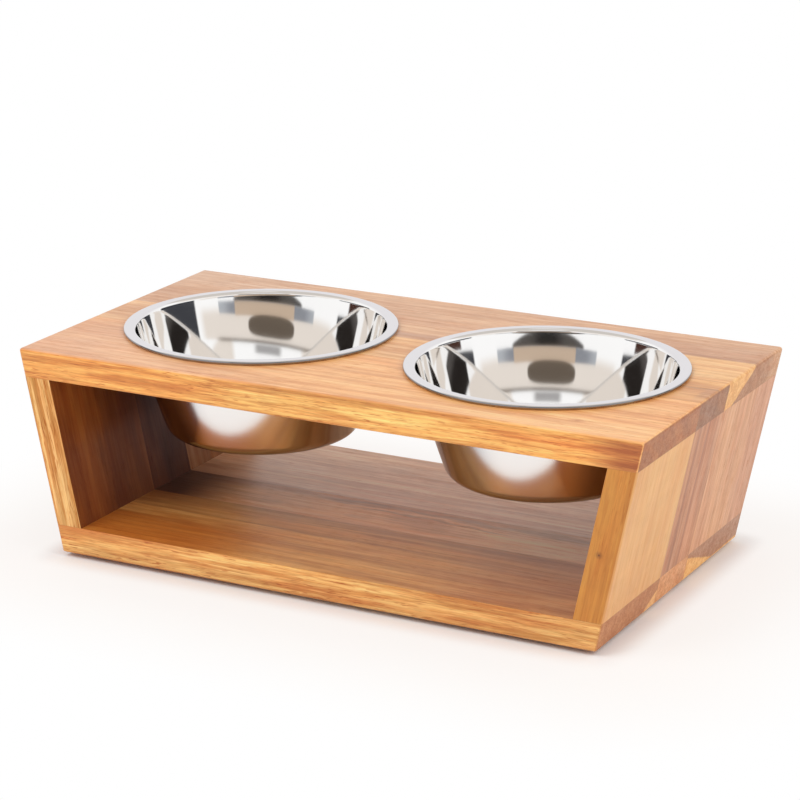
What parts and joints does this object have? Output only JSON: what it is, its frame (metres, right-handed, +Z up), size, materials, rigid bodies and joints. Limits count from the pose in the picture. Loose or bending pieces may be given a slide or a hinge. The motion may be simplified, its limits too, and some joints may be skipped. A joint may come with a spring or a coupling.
{
  "type": "elevated pet feeder",
  "caption": "Open wooden case with ends that lean in, lift-out steel bowls hung in its top board and an open storage shelf under them.",
  "frame": {"origin": "on the floor, under the middle of the case", "axes": "+X along the length of the case to the right, +Y to its back, +Z up"},
  "size_m": [0.3992, 0.2084, 0.1285],
  "materials": {
    "acacia_honey": "oiled, satin, pale honey staves",
    "acacia_tan": "oiled, satin, pinkish tan staves",
    "acacia_brown": "oiled, satin, darker heartwood staves",
    "dowel_beech": "plain turned dowel",
    "stainless_steel": "mirror inside, satin outside",
    "rubber_pad": "matt"
  },
  "bodies": {
    "case": {"top_stave_front": "acacia_honey", "top_stave_left": "acacia_honey", "top_stave_centre": "acacia_honey", "top_stave_right": "acacia_honey", "top_stave_back": "acacia_tan", "left_stave_front": "acacia_brown", "left_stave_middle": "acacia_brown", "left_stave_back": "acacia_tan", "right_stave_front": "acacia_honey", "right_stave_middle": "acacia_tan", "right_stave_back": "acacia_tan", "bottom_stave_front": "acacia_brown", "bottom_stave_middle": "acacia_brown", "bottom_stave_back": "acacia_brown", "dowels_top_left": "dowel_beech", "dowels_top_right": "dowel_beech", "dowels_bottom_left": "dowel_beech", "dowels_bottom_right": "dowel_beech", "foot_front_left": "rubber_pad", "foot_front_right": "rubber_pad", "foot_back_left": "rubber_pad", "foot_back_right": "rubber_pad"},
    "bowl_left": {"left_bowl": "stainless_steel"},
    "bowl_right": {"right_bowl": "stainless_steel"}
  },
  "joints": [
    {"name": "left_bowl_lift", "type": "slide", "parent": "case", "child": "bowl_left", "axis": [0, 0, 1], "range_m": [0, 0.1]},
    {"name": "right_bowl_lift", "type": "slide", "parent": "case", "child": "bowl_right", "axis": [0, 0, 1], "range_m": [0, 0.1]}
  ]
}
